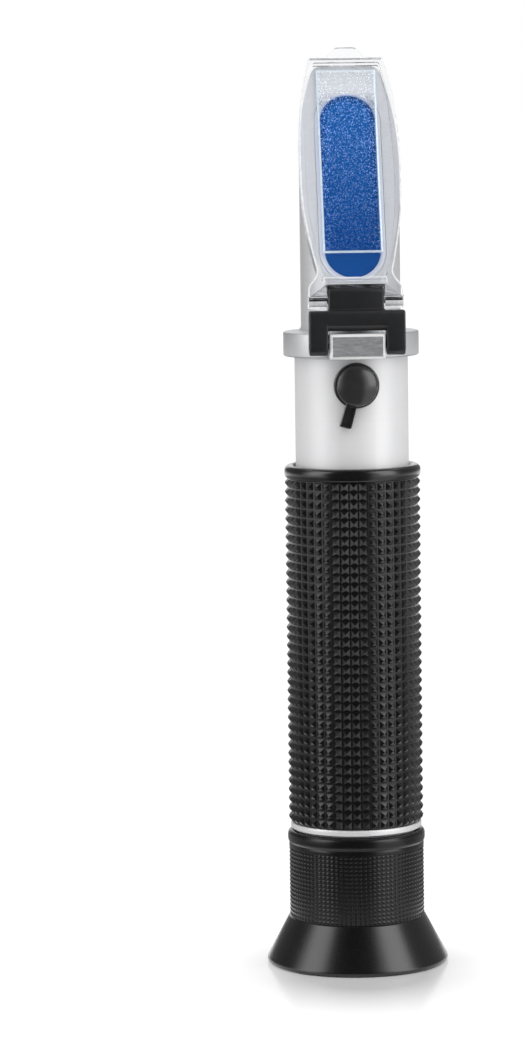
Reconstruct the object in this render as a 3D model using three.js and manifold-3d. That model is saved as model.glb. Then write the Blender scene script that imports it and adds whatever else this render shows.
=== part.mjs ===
// A handheld alcohol refractometer that stands on its eyecup, in millimetres.
// +Z runs up the barrel to the prism, and -Y is the front, where the daylight plate and the
// calibration screw are. The origin is the middle of the eyecup's rim.
// "Front" below means a distance from the barrel's axis along -Y.

import * as THREE from 'three';
import { mergeVertices } from 'three/addons/utils/BufferGeometryUtils.js';
import Module from 'manifold-3d';

const wasm = await Module();
wasm.setup();
const degrees = THREE.MathUtils.degToRad;

// Clearances
const slideFit = 0.1; // between turned parts that slide or screw into each other, on the radius
const pinFit = 0.06; // round a pin or a small screw, on the radius
const seatGap = 0.1; // between faces that rest on each other
const runningGap = 0.3; // between faces that move past each other
const overrun = 1; // how far a cutting tool reaches past the piece

// Smoothness
const barrelSides = 44;
const innerSides = 24;
const pinSides = 12;
const arcSteps = 4;

// Eyecup: a rubber sleeve with a flared skirt
const skirtFlare = 5.1; // how far the rim stands out from the collar
const rimFlat = 1.1; // width of the ring that it stands on
const rimRound = 0.7;
const skirtHeight = 10.3;
const skirtWall = 2.3;
const collarWall = 1.4;
const collarHeight = 15.9;
const cupBeadSwell = 0.3;
const cupBeadHeight = 3.5;
const lipThickness = 1.4;
const lipClearance = 0.8; // round the lens barrel, on the radius

// Focus ring: the metal core that the eyecup is pushed onto
const focusRingWall = 1.3;
const focusLead = 6; // travel of the lenses for one full turn
const focusTurn = degrees(150); // each way from the middle
const grooveDepth = 0.85;

// Eyepiece housing: the fixed part that the focus ring turns on, with the bright ring that shows
const housingRingStep = 2; // beyond the barrel tube, on the radius
const housingRingThickness = 1.4;
const housingSpigotWall = 1.5;
const neckStep = 0.9; // from the spigot out to the neck
const housingSpigotLength = 7.6;
const threadDrop = 0.8; // step in the neck's radius where the keeper ring screws on
const keeperOverlap = 0.6; // under the focus ring's shoulder
const keeperHeight = 2.7;
const keeperRise = 1.4; // from the eyecup's lip up to the keeper ring

// Lens barrel and eyepiece lenses
const lensBarrelWall = 0.9;
const lensBarrelLength = 15.7;
const lensBarrelDrop = 0.3; // from the top of the eyecup's lip down to its lower face
const lensShoulder = 1.2;
const lensEdge = 2.2;
const lensBulge = 1.1;
const spacerHeight = 3.6;
const retainerHeight = 2;
const ringWidth = 1; // of the spacer and the retaining rings
const spannerSlotWidth = 0.8;
const spannerSlotDepth = 0.6;
const drivePinRadius = 1;
const drivePinRise = 10.2; // above the lens barrel's lower face

// Barrel tube and rubber grip
const tubeRadius = 12.4;
const tubeWall = 1.2;
const tubeShowing = 23.9; // bare tube between grip and flange
const gripWall = 1.8; // under the knurl
const knurlDepth = 0.8;
const knurlColumns = 44;
const knurlRows = 38;
const knurlPitch = 2;
const gripBeadHeight = 2.9;
const gripBeadInset = 0.1; // from the knurl's points

// Reticle, the glass scale, in a cell that three radial screws hold
const reticleRise = 16; // above the bright ring
const reticleThickness = 1.5;
const cellHeight = 8;
const cellSeat = 3.3; // height of the cell below the glass
const cellWall = 1.5;
const cellLedge = 1.5;
const setScrewCount = 3;
const setScrewRadius = 1;
const setScrewLength = 2.3;

// Prism head: flange, slanted wedge, boss for the hinge and a spigot that screws into the tube
const flangeStep = 2.4; // beyond the barrel tube, on the radius
const flangeHeight = 5.3;
const flangeEdge = 0.4;
const headStep = 0.2; // inside the spigot, on the radius
const headLength = 57.3; // above the flange
const headFillet = 1.1;
const headTipEdge = 1.2;
const wedgeAngle = degrees(21); // between the prism's face and the barrel's axis
const faceStart = 6.7; // above the flange, where that face begins at the front
const spigotLength = 12;
const spigotWall = 1.2;
const lightBoreMargin = 0.6; // beyond the prism's half width
const bossHalfWidth = 6.05;
const bossHeight = 5.5;
const bossReach = 2.5; // beyond the flange
const bossBevel = 0.7;

// Prism and the seal round it
const prismWidthShare = 0.55; // of the head's radius, on the half width
const prismHalfLength = 20.85; // along the slanted face
const prismShift = -4.1; // middle of its face, along the slope from where that crosses the axis
const prismBack = 7.7; // its flat back, behind the axis
const prismExitRise = 4.2; // its lower face, above the start of the slanted face
const sealWidth = 0.55;
const sealDepth = 0.7;

// Link: the black hinge arm with two pins between head and daylight plate
const hingePinRadius = 0.7;
const hingeSidePlay = 0.3;
const linkPinReach = 0.7; // beyond the flange
const linkPinRise = 2.7; // above the flange's lower face
const linkLegRadius = 1.9;
const linkInset = 0.65; // from the plate's largest half width
const linkBarDepth = 3.3;
const linkBarBottom = 3.4; // above the link's pin
const linkBarTop = 7.8;
const linkBarSlant = 1.4; // of the underside's front edge
const linkEdge = 0.6;
const linkTabHalfWidth = 6;
const linkTabReach = 2.7; // beyond the plate's pin
const linkTabFront = 2.1; // before the plate's pin
const linkTabBack = 1.4; // behind the plate's pin

// Daylight plate: the clear cover that spreads the drop and lets light in
const platePinReach = 1.8; // beyond the head
const platePinRise = 12.5; // above the flange's lower face
const plateLength = 55.3; // from its pin
const plateOverhang = 0.1; // beyond the head, on the half width
const plateThickness = 1.8;
const plateRimWidth = 1.3;
const plateRimRise = 0.7; // rim over the outer face
const plateRimDrop = 0.6; // rim under the inner face
const plateEarRadius = 1.7;
const plateNotch = 3.7; // clear length round the link's tab, from the pin
const ribHeight = 1.1; // of the rib between notch and panel, along the plate
const padThickness = 0.9;
const padInset = 0.2; // from the prism's side
const padStart = 11; // from the pin
const padEnd = 52.9;
const liftTabHalfWidth = 4.1;
const liftTabLength = 2.8;
const liftTabThickness = 1.2;
// Half width along the plate, as shares of its length from the pin and of its largest half width
const plateSideShares = [
  [0, 0.93], [0.05, 0.93], [0.085, 0.78], [0.11, 0.735], [0.16, 0.8], [0.256, 0.89],
  [0.353, 0.965], [0.45, 0.995], [0.546, 1], [0.65, 0.99], [0.74, 0.964], [0.837, 0.918],
  [0.93, 0.83], [1, 0.705],
];

// Calibration screw, its bush, and the rubber cap over them
const screwDrop = 5.9; // below the flange
const bushRadius = 3.9;
const bushFloor = 0.6;
const bushRecess = 3.1;
const bushSetback = 0.05; // outside the spigot's bore
const bushSink = 0.7; // inside the tube's surface
const screwHeadRadius = 2.1;
const screwHeadThickness = 0.6;
const screwSlotWidth = 0.5;
const screwSlotDepth = 0.3;
const screwShankRadius = 1.5;
const screwTipRadius = 1.2;
const screwTipRecess = 1.2; // from its tip in to the carriage's bore
const screwShankLength = 0.75; // behind the bush's floor
const clipThickness = 0.25;
const clipRadius = 2.3;
const clipGroove = 0.35;
const capRadius = 4.85;
const capEdge = 1; // height of its edge over the tube
const capStep = 0.35;
const capDomeRise = 2.7;
const capPlugRadius = 3;
const capPlugWall = 0.7;
const capTailWidth = 2.1;
const capTailReach = 9.9; // from the cap's middle
const capTailAngle = degrees(16); // from straight down
const capTailThickness = 1.1;
const capTailSlant = 1.1; // how much longer one side of its end is

// Adjuster carriage, bimetal strip and objective lens
const carriagePlay = 1.1; // in the spigot, on the radius
const carriageHeight = 5.9;
const carriageBoreShare = 0.67; // of the carriage's radius
const lockRingHeight = 2.4;
const lockRingWall = 1.6;
const stripHalfWidth = 2;
const stripThickness = 0.5;
const stripLength = 19;
const stripTopDrop = 0.6; // below the carriage's upper face
const stripSink = 0.6; // of its outer face into the carriage's wall
const stripScrewRadius = 0.6;
const stripScrewLength = 1.4;
const stripScrewHeadRadius = 1.2;
const stripScrewHeadHeight = 0.7;
const objectiveShare = 0.814; // of the carriage's bore
const objectiveEdge = 2.4;
const objectiveBulge = 0.8;
const objectiveCellWall = 2.8;
const objectiveCellHeight = 6;
const objectiveSeat = 1;
const objectiveRingHeight = 1.6;

// Radii, each from the piece that it fits in or round
const tubeBore = tubeRadius - tubeWall;
const spigotRadius = tubeBore - slideFit;
const spigotBore = spigotRadius - spigotWall;
const housingRingRadius = tubeRadius + housingRingStep;
const housingBore = spigotRadius - housingSpigotWall;
const neckRadius = spigotRadius + neckStep;
const threadRadius = neckRadius - threadDrop;
const focusBore = neckRadius + slideFit;
const grooveRadius = focusBore + grooveDepth;
const focusRingRadius = focusBore + focusRingWall;
const keeperRadius = focusBore + keeperOverlap;
const lensBarrelRadius = housingBore - slideFit;
const lensBarrelBore = lensBarrelRadius - lensBarrelWall;
const lensRadius = lensBarrelBore - slideFit;
const cupBore = focusRingRadius + slideFit;
const collarRadius = cupBore + collarWall;
const cupBeadRadius = collarRadius + cupBeadSwell;
const rimRadius = collarRadius + skirtFlare;
const lipRadius = lensBarrelRadius + lipClearance;
const gripBore = tubeRadius + slideFit;
const gripRadius = gripBore + gripWall + knurlDepth;
const reticleSeat = spigotRadius - cellWall;
const reticleRadius = reticleSeat - slideFit;
const cellBore = reticleRadius - cellLedge;
const flangeRadius = tubeRadius + flangeStep;
const headRadius = spigotRadius - headStep;
const prismHalfWidth = headRadius * prismWidthShare;
const lightBore = prismHalfWidth + lightBoreMargin;
const carriageRadius = spigotBore - carriagePlay;
const carriageBore = carriageRadius * carriageBoreShare;
const lockRingRadius = spigotBore - slideFit;
const lockRingBore = lockRingRadius - lockRingWall;
const objectiveRadius = carriageBore * objectiveShare;
const objectiveCellRadius = objectiveRadius + objectiveCellWall;
const portRadius = bushRadius + slideFit;

// Distances before and behind the axis
const bossFront = flangeRadius + bossReach;
const linkPinFront = flangeRadius + linkPinReach;
const platePinFront = headRadius + platePinReach;
const stripBack = carriageBore + stripSink;
const bushInnerFront = spigotBore + bushSetback;
const bushOuterFront = tubeRadius - bushSink;
const screwFloorFront = bushInnerFront + bushFloor;
const screwTipFront = carriageBore + screwTipRecess;

// Half widths of the hinge
const linkLegInner = bossHalfWidth + hingeSidePlay;
const earInner = linkTabHalfWidth + hingeSidePlay;
const plateHalfWidth = headRadius + plateOverhang;
const linkHalfWidth = plateHalfWidth - linkInset;
const earHalfWidth = plateSideShares[0][1] * plateHalfWidth;

// Heights up the barrel, each from the piece below it
const cupTop = skirtHeight + collarHeight + cupBeadHeight;
const lipTop = skirtHeight + runningGap + lipThickness;
const ringBase = cupTop + runningGap;
const ringTop = ringBase + housingRingThickness;
const gripBase = ringTop + seatGap;
const gripLength = knurlRows * knurlPitch + gripBeadHeight;
const flangeBase = gripBase + gripLength + tubeShowing;
const keeperBase = lipTop + keeperRise;
const threadTop = keeperBase + keeperHeight + seatGap;
const lensBarrelBase = lipTop - lensBarrelDrop;
const drivePinHeight = lensBarrelBase + drivePinRise;
const reticleCellBase = ringTop + reticleRise - cellSeat;
const setScrewHeight = reticleCellBase + cellSeat / 2;
const screwHeight = flangeBase - screwDrop;
const carriageBase = screwHeight - carriageHeight / 2;
const stripBase = carriageBase + carriageHeight - stripTopDrop - stripLength;
const faceCrossing = faceStart + headRadius / Math.tan(wedgeAngle);
const prismExit = flangeHeight + faceStart + prismExitRise;
const focusTravel = (focusLead * focusTurn) / (2 * Math.PI);

// Materials
const look = (color, roughness, metalness, extra = {}) =>
  new THREE.MeshStandardMaterial({ color, roughness, metalness, ...extra });
const rubber = () => look(0x1f1f20, 0.6, 0);
const blackPlastic = () => look(0x232426, 0.4, 0);
const brightMetal = () => look(0xd5d6d8, 0.28, 1);
const blackMetal = () => look(0x1a1b1d, 0.5, 0.6);
const brass = () => look(0xb6924c, 0.35, 1);
const steel = () => look(0xb8bbc0, 0.25, 1);
const opticalGlass = () => look(0xe6f0f4, 0.05, 0, { transparent: true, opacity: 0.4 });
const blueGlass = () => look(0x174a94, 0.08, 0);
const clearPlastic = () => look(0xeef1f3, 0.15, 0, { transparent: true, opacity: 0.45 });
const sealant = () => look(0xd9dde6, 0.6, 0);
const bimetal = () => look(0xa7855f, 0.35, 1);

// One welded surface, its faces turned out, from any closed geometry
function closed(geometry) {
  const bare = new THREE.BufferGeometry();
  bare.setAttribute('position', geometry.getAttribute('position'));
  bare.setIndex(geometry.index);
  const welded = mergeVertices(bare);
  const points = welded.getAttribute('position');
  const point = (index) => new THREE.Vector3().fromBufferAttribute(points, index);
  const faces = [];
  let volume = 0;
  for (let i = 0; i < welded.index.count; i += 3) {
    const [a, b, c] = [i, i + 1, i + 2].map((k) => welded.index.getX(k));
    if (a === b || b === c || c === a) continue;
    faces.push(a, b, c);
    volume += point(a).dot(point(b).cross(point(c)));
  }
  if (volume < 0) faces.reverse();
  welded.setIndex(faces);
  return welded;
}

// Joins and cuts
function toManifold(geometry) {
  const { attributes, index } = closed(geometry);
  return new wasm.Manifold(new wasm.Mesh({
    numProp: 3,
    vertProperties: new Float32Array(attributes.position.array),
    triVerts: new Uint32Array(index.array),
  }));
}

function fromManifold(solid) {
  const { vertProperties, triVerts } = solid.getMesh();
  const geometry = new THREE.BufferGeometry();
  geometry.setAttribute('position', new THREE.BufferAttribute(vertProperties, 3));
  geometry.setIndex(new THREE.BufferAttribute(triVerts, 1));
  return geometry;
}

const combine = (operation) => (first, ...others) =>
  fromManifold(others.reduce((made, other) => made[operation](toManifold(other)), toManifold(first)));
const join = combine('add');
const cut = combine('subtract');
const common = combine('intersect');

// A solid turned about Z from an outline of [radius, height] points that closes on itself
function turned(outline, sides = barrelSides) {
  const points = [...outline, outline[0]].map(([radius, height]) => new THREE.Vector2(radius, height));
  return closed(new THREE.LatheGeometry(points, sides).rotateX(Math.PI / 2));
}

const rod = (radius, low, high, sides = barrelSides) =>
  turned([[0, low], [radius, low], [radius, high], [0, high]], sides);

const tube = (outer, inner, low, high, sides = barrelSides) =>
  turned([[inner, low], [outer, low], [outer, high], [inner, high]], sides);

// Points of an arc in an outline
function arc([x, y], radius, from, to, steps = arcSteps) {
  return Array.from({ length: steps + 1 }, (_, i) => {
    const angle = THREE.MathUtils.lerp(from, to, i / steps);
    return [x + radius * Math.cos(angle), y + radius * Math.sin(angle)];
  });
}

// A box between two corners
function block(low, high) {
  const [x, y, z] = high.map((value, i) => value - low[i]);
  const [midX, midY, midZ] = high.map((value, i) => (value + low[i]) / 2);
  return new THREE.BoxGeometry(x, y, z).translate(midX, midY, midZ);
}

// A turned solid laid along the front, the back or X
const alongFront = (geometry) => geometry.rotateX(Math.PI / 2);
const alongBack = (geometry) => geometry.rotateX(-Math.PI / 2);
const alongX = (geometry) => geometry.rotateY(Math.PI / 2);

const outlineShape = (points) => new THREE.Shape(points.map(([x, y]) => new THREE.Vector2(x, y)));

// A shape in x and height, extruded forwards from one front distance to another
function facing(shape, back, front, bevel = 0) {
  const geometry = new THREE.ExtrudeGeometry(shape, {
    depth: front - back - 2 * bevel,
    curveSegments: 2 * arcSteps,
    bevelEnabled: bevel > 0,
    bevelThickness: bevel,
    bevelSize: bevel,
    bevelSegments: 1,
  });
  return closed(geometry.rotateX(Math.PI / 2).translate(0, -back - bevel, 0));
}

// An outline of [front, height] points, extruded across from one x to another
function sideways(points, left, right) {
  const geometry = new THREE.ExtrudeGeometry(outlineShape(points), {
    depth: right - left,
    bevelEnabled: false,
  });
  return closed(geometry.rotateX(Math.PI / 2).rotateZ(-Math.PI / 2).scale(-1, 1, 1).translate(left, 0, 0));
}

// Two spanner slots in a ring, or one screwdriver slot in a head
const slotted = (geometry, radius, top, width = spannerSlotWidth, depth = spannerSlotDepth) =>
  cut(geometry, block(
    [-radius - overrun, -width / 2, top - depth],
    [radius + overrun, width / 2, top + overrun],
  ));

function piece(name, geometry, material, height = 0) {
  geometry.computeVertexNormals();
  const mesh = new THREE.Mesh(geometry, material);
  mesh.name = name;
  mesh.position.z = height;
  return mesh;
}

// Eyecup and focusing

function eyecup() {
  const lipBase = lipTop - lipThickness;
  const beadRound = cupBeadHeight / 2;
  const edge = rimRadius - rimRound;
  const outline = [
    [edge - rimFlat, 0],
    [edge, 0],
    ...arc([edge, rimRound], rimRound, -Math.PI / 2, 0).slice(1),
    [rimRadius - rimRound / 2, 2 * rimRound],
    [collarRadius, skirtHeight],
    [collarRadius, skirtHeight + collarHeight],
    [cupBeadRadius, skirtHeight + collarHeight + beadRound / 2],
    ...arc([cupBeadRadius - beadRound, cupTop - beadRound], beadRound, 0, Math.PI / 2),
    [cupBore, cupTop],
    [cupBore, lipTop],
    [lipRadius, lipTop],
    [lipRadius, lipBase],
    [collarRadius - skirtWall, lipBase],
  ];
  return piece('eyecup', turned(outline), rubber());
}

// The groove that turns the ring's rotation into travel of the lenses, its middle at height zero
function helicalGroove() {
  const halfWidth = drivePinRadius + slideFit;
  const reach = focusTurn + (drivePinRadius + runningGap) / focusBore;
  const steps = Math.ceil((barrelSides * reach) / Math.PI);
  const corners = [
    [focusBore - overrun / 2, -halfWidth],
    [grooveRadius, -halfWidth],
    [grooveRadius, halfWidth],
    [focusBore - overrun / 2, halfWidth],
  ];
  const position = [];
  const index = [];
  for (let i = 0; i <= steps; i += 1) {
    const turn = THREE.MathUtils.lerp(-reach, reach, i / steps);
    const climb = (-focusLead * turn) / (2 * Math.PI);
    for (const [radius, side] of corners)
      position.push(-radius * Math.sin(turn), radius * Math.cos(turn), climb + side);
  }
  for (let i = 0; i < steps; i += 1) {
    for (let k = 0; k < 4; k += 1) {
      const [a, b] = [4 * i + k, 4 * i + ((k + 1) % 4)];
      index.push(a, b, b + 4, a, b + 4, a + 4);
    }
  }
  const last = 4 * steps;
  index.push(0, 2, 1, 0, 3, 2, last, last + 1, last + 2, last, last + 2, last + 3);
  const geometry = new THREE.BufferGeometry();
  geometry.setAttribute('position', new THREE.Float32BufferAttribute(position, 3));
  geometry.setIndex(index);
  return geometry;
}

function focusRing() {
  const base = lipTop + seatGap;
  const shoulder = keeperBase + keeperHeight + runningGap;
  const counterbore = keeperRadius + slideFit;
  const body = turned([
    [counterbore, base],
    [focusRingRadius, base],
    [focusRingRadius, cupTop],
    [focusBore, cupTop],
    [focusBore, shoulder],
    [counterbore, shoulder],
  ]);
  return piece('focus_ring', cut(body, helicalGroove().translate(0, 0, drivePinHeight)), brightMetal());
}

function keeperRing() {
  const ring = tube(keeperRadius, threadRadius + slideFit, 0, keeperHeight);
  const upsideDown = slotted(ring, keeperRadius, keeperHeight).rotateX(Math.PI);
  return piece('keeper_ring', upsideDown, brass(), keeperBase + keeperHeight);
}

function eyepieceHousing() {
  const body = turned([
    [housingBore, keeperBase],
    [threadRadius, keeperBase],
    [threadRadius, threadTop],
    [neckRadius, threadTop],
    [neckRadius, ringBase],
    [housingRingRadius, ringBase],
    [housingRingRadius, ringTop],
    [spigotRadius, ringTop],
    [spigotRadius, ringTop + housingSpigotLength],
    [housingBore, ringTop + housingSpigotLength],
  ]);
  const halfWidth = drivePinRadius + pinFit;
  const reach = focusTravel + drivePinRadius + runningGap;
  const slot = block(
    [-halfWidth, 0, drivePinHeight - reach],
    [halfWidth, neckRadius + overrun, drivePinHeight + reach],
  );
  return piece('eyepiece_housing', cut(body, slot), brightMetal());
}

function lensBarrel() {
  const body = turned([
    [lensBarrelBore - ringWidth, 0],
    [lensBarrelRadius, 0],
    [lensBarrelRadius, lensBarrelLength],
    [lensBarrelBore, lensBarrelLength],
    [lensBarrelBore, lensShoulder],
    [lensBarrelBore - ringWidth, lensShoulder],
  ], innerSides);
  const hole = alongBack(rod(drivePinRadius + pinFit, 0, lensBarrelRadius + overrun, pinSides));
  return piece('lens_barrel', cut(body, hole.translate(0, 0, drivePinRise)), blackMetal(), lensBarrelBase);
}

function drivePin() {
  const pin = alongBack(rod(drivePinRadius, lensBarrelBore + seatGap, grooveRadius - seatGap, pinSides));
  return piece('focus_drive_pin', pin, steel(), drivePinHeight);
}

// A lens that bulges below and above inside the flat land that rings and shoulders hold
function lens(radius, edge, bulgeBelow, bulgeAbove) {
  const clear = radius - ringWidth - slideFit;
  const below = [];
  const above = [];
  for (let i = 0; i <= arcSteps; i += 1) {
    const share = i / arcSteps;
    below.push([clear * share, -bulgeBelow * (1 - share ** 2)]);
    above.unshift([clear * share, edge + bulgeAbove * (1 - share ** 2)]);
  }
  return turned([...below, [radius, 0], [radius, edge], ...above], innerSides);
}

function eyepieceLenses() {
  const eyeLensBase = lensBarrelBase + lensShoulder + seatGap;
  const spacerBase = eyeLensBase + lensEdge + seatGap;
  const fieldLensBase = spacerBase + spacerHeight + seatGap;
  const retainerBase = fieldLensBase + lensEdge + seatGap;
  const ring = (height) => tube(lensRadius, lensRadius - ringWidth, 0, height, innerSides);
  return [
    piece('eye_lens', lens(lensRadius, lensEdge, lensBulge, 0), opticalGlass(), eyeLensBase),
    piece('lens_spacer', ring(spacerHeight), blackMetal(), spacerBase),
    piece('field_lens', lens(lensRadius, lensEdge, 0, lensBulge), opticalGlass(), fieldLensBase),
    piece('lens_retaining_ring', slotted(ring(retainerHeight), lensRadius, retainerHeight),
      blackMetal(), retainerBase),
  ];
}

// Barrel, grip and reticle

const setScrewAngles = Array.from({ length: setScrewCount }, (_, i) => (2 * Math.PI * i) / setScrewCount);

// A round tool or pin across the barrel, turned about Z from the back
const crosswise = (geometry, angle, height) =>
  alongBack(geometry).rotateZ(angle).translate(0, 0, height);

function barrelTube() {
  const body = tube(tubeRadius, tubeBore, 0, flangeBase - seatGap - gripBase);
  const reach = tubeRadius + overrun;
  const screwHoles = setScrewAngles.map((angle) =>
    crosswise(rod(setScrewRadius + slideFit, 0, reach, pinSides), angle, setScrewHeight - gripBase));
  const port = alongFront(rod(portRadius, 0, reach, innerSides)).translate(0, 0, screwHeight - gripBase);
  return piece('barrel_tube', cut(body, port, ...screwHoles), brightMetal(), gripBase);
}

// Rows and columns of four-sided points round a plain bore, with a rounded bead on top
function gripSleeve() {
  const valley = gripRadius - knurlDepth;
  const beadRadius = gripRadius - gripBeadInset;
  const knurlTop = knurlRows * knurlPitch;
  const beadRound = gripBeadHeight / 2;
  const position = [];
  const index = [];
  const point = (radius, column, height) => {
    const angle = (2 * Math.PI * column) / knurlColumns;
    position.push(radius * Math.cos(angle), radius * Math.sin(angle), height);
    return position.length / 3 - 1;
  };
  const columns = Array.from({ length: knurlColumns }, (_, i) => i);
  const ring = (radius, height) => columns.map((column) => point(radius, column, height));
  // The quads between two rings, each as two faces, or as four round a raised point
  const band = (low, high, raised) => columns.forEach((column) => {
    const next = (column + 1) % knurlColumns;
    const corners = [low[column], low[next], high[next], high[column]];
    const [a, b, c, d] = corners;
    const top = raised && point(gripRadius, column + 1 / 2, raised);
    if (raised) corners.forEach((corner, k) => index.push(corner, corners[(k + 1) % 4], top));
    else index.push(a, b, c, a, c, d);
  });
  const first = ring(gripBore, 0);
  let below = ring(valley, 0);
  band(first, below);
  for (let row = 0; row < knurlRows; row += 1) {
    const above = ring(valley, (row + 1) * knurlPitch);
    band(below, above, (row + 1 / 2) * knurlPitch);
    below = above;
  }
  const bead = [
    [beadRadius, knurlTop + beadRound / 4],
    ...arc([beadRadius - beadRound, knurlTop + beadRound], beadRound, 0, Math.PI / 2),
    [gripBore, gripLength],
  ];
  for (const [radius, height] of bead) {
    const above = ring(radius, height);
    band(below, above);
    below = above;
  }
  band(below, first);
  const geometry = new THREE.BufferGeometry();
  geometry.setAttribute('position', new THREE.Float32BufferAttribute(position, 3));
  geometry.setIndex(index);
  return piece('grip_sleeve', closed(geometry), rubber(), gripBase);
}

function reticleParts() {
  const cell = turned([
    [cellBore, 0],
    [spigotRadius, 0],
    [spigotRadius, cellHeight],
    [reticleSeat, cellHeight],
    [reticleSeat, cellSeat],
    [cellBore, cellSeat],
  ], innerSides);
  const screwOuter = tubeRadius - seatGap;
  const screwInner = screwOuter - setScrewLength;
  const holes = setScrewAngles.map((angle) =>
    crosswise(rod(setScrewRadius + pinFit, screwInner - seatGap, tubeRadius, pinSides), angle, cellSeat / 2));
  const screw = () => slotted(
    rod(setScrewRadius, screwInner, screwOuter, pinSides),
    setScrewRadius, screwOuter, screwSlotWidth, screwSlotDepth,
  );
  const glassBase = reticleCellBase + cellSeat + seatGap;
  const ring = tube(reticleRadius, reticleRadius - ringWidth, 0, retainerHeight, innerSides);
  return [
    piece('reticle_cell', cut(cell, ...holes), blackMetal(), reticleCellBase),
    piece('reticle', rod(reticleRadius, 0, reticleThickness, innerSides), opticalGlass(), glassBase),
    piece('reticle_retaining_ring', slotted(ring, reticleRadius, retainerHeight), blackMetal(),
      glassBase + reticleThickness + seatGap),
    ...setScrewAngles.map((angle, i) =>
      piece(`reticle_set_screw_${i + 1}`, crosswise(screw(), angle, 0), steel(), setScrewHeight)),
  ];
}

// Prism head, modelled from the flange's lower face

// Tilts a solid drawn against the face's slope, zero where the face crosses the axis, into place
const onSlope = (geometry) =>
  geometry.rotateX(-wedgeAngle).translate(0, 0, flangeHeight + faceCrossing);

// An outline with straight sides and round ends, on the face, grown all round
function obround(grow) {
  const radius = prismHalfWidth + grow;
  const straight = prismHalfLength - prismHalfWidth;
  const shape = new THREE.Shape();
  shape.absarc(0, prismShift + straight, radius, 0, Math.PI);
  shape.absarc(0, prismShift - straight, radius, Math.PI, 2 * Math.PI);
  return shape;
}

// The prism, or the pocket for it when grown: slanted face, flat back and flat exit face
function prismBody(grow, proud) {
  const deep = onSlope(facing(obround(grow), -prismHalfLength * 2, proud));
  const reach = 2 * headRadius;
  const room = block(
    [-reach, -reach, prismExit - grow],
    [reach, prismBack + grow, flangeHeight + headLength],
  );
  return common(deep, room);
}

function prismHead() {
  const top = flangeHeight + headLength;
  const shoulder = carriageBase + carriageHeight + seatGap - flangeBase;
  const body = turned([
    [0, shoulder],
    [spigotBore, shoulder],
    [spigotBore, -spigotLength],
    [spigotRadius, -spigotLength],
    [spigotRadius, 0],
    [flangeRadius - flangeEdge, 0],
    [flangeRadius, flangeEdge],
    [flangeRadius, flangeHeight - flangeEdge],
    [flangeRadius - flangeEdge, flangeHeight],
    [headRadius + headFillet, flangeHeight],
    [headRadius, flangeHeight + headFillet],
    [headRadius, top - headTipEdge],
    [headRadius - headTipEdge, top],
    [0, top],
  ]);
  const bossSide = bossHalfWidth - bossBevel;
  const bossShape = outlineShape([
    [-bossSide, bossBevel],
    [bossSide, bossBevel],
    [bossSide, bossHeight - bossBevel],
    [-bossSide, bossHeight - bossBevel],
  ]);
  const boss = facing(bossShape, headRadius, bossFront, bossBevel);
  const pinHole = alongX(rod(hingePinRadius + pinFit, -linkHalfWidth, linkHalfWidth, pinSides));
  const far = 2 * headLength;
  const beyondFace = common(
    onSlope(block([-far, -far, -far], [far, 0, far])),
    block([-far, -far, flangeHeight + headFillet], [far, far, far]),
  );
  const light = rod(lightBore, -spigotLength, prismExit + overrun, innerSides);
  const sealSeat = onSlope(facing(obround(sealWidth + slideFit), -sealDepth - seatGap, overrun));
  const port = alongFront(rod(portRadius, 0, spigotRadius + overrun, innerSides));
  return piece('prism_head', cut(
    join(body, boss),
    pinHole.translate(0, -linkPinFront, linkPinRise),
    beyondFace,
    light,
    prismBody(slideFit, overrun),
    sealSeat,
    port.translate(0, 0, -screwDrop),
  ), brightMetal(), flangeBase);
}

function prismAndSeal() {
  const ring = obround(sealWidth);
  ring.holes.push(obround(slideFit));
  const seal = onSlope(facing(ring, -sealDepth, 0));
  return [
    piece('prism', prismBody(0, 0), blueGlass(), flangeBase),
    piece('prism_seal', seal, sealant(), flangeBase),
  ];
}

// Calibration screw and cap, each drawn along its own axis and laid forwards

function calibrationParts() {
  const bush = turned([
    [screwShankRadius + slideFit, bushInnerFront],
    [bushRadius, bushInnerFront],
    [bushRadius, bushOuterFront],
    [bushRecess, bushOuterFront],
    [bushRecess, screwFloorFront],
    [screwShankRadius + slideFit, screwFloorFront],
  ], innerSides);
  const headBase = screwFloorFront + seatGap;
  const headTop = headBase + screwHeadThickness;
  const grooveTop = bushInnerFront;
  const grooveBase = grooveTop - clipThickness - 2 * seatGap;
  const neck = screwShankRadius - clipGroove;
  const shankEnd = bushInnerFront - screwShankLength;
  const screw = turned([
    [0, screwTipFront],
    [screwTipRadius, screwTipFront],
    [screwTipRadius, shankEnd],
    [screwShankRadius, shankEnd],
    [screwShankRadius, grooveBase],
    [neck, grooveBase],
    [neck, grooveTop],
    [screwShankRadius, grooveTop],
    [screwShankRadius, headBase],
    [screwHeadRadius, headBase],
    [screwHeadRadius, headTop],
    [0, headTop],
  ], innerSides);
  const clipBase = grooveBase + seatGap;
  const clipTop = clipBase + clipThickness;
  const clip = cut(
    tube(clipRadius, neck + slideFit, clipBase, clipTop, innerSides),
    block([0, -neck, clipBase - overrun], [clipRadius + overrun, neck, clipTop + overrun]),
  );
  return [
    piece('screw_bush', alongFront(bush), brass(), screwHeight),
    piece('calibration_screw',
      alongFront(slotted(screw, screwHeadRadius, headTop, screwSlotWidth, screwSlotDepth)),
      brass(), screwHeight),
    piece('screw_clip', alongFront(clip), steel(), screwHeight),
  ];
}

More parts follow.
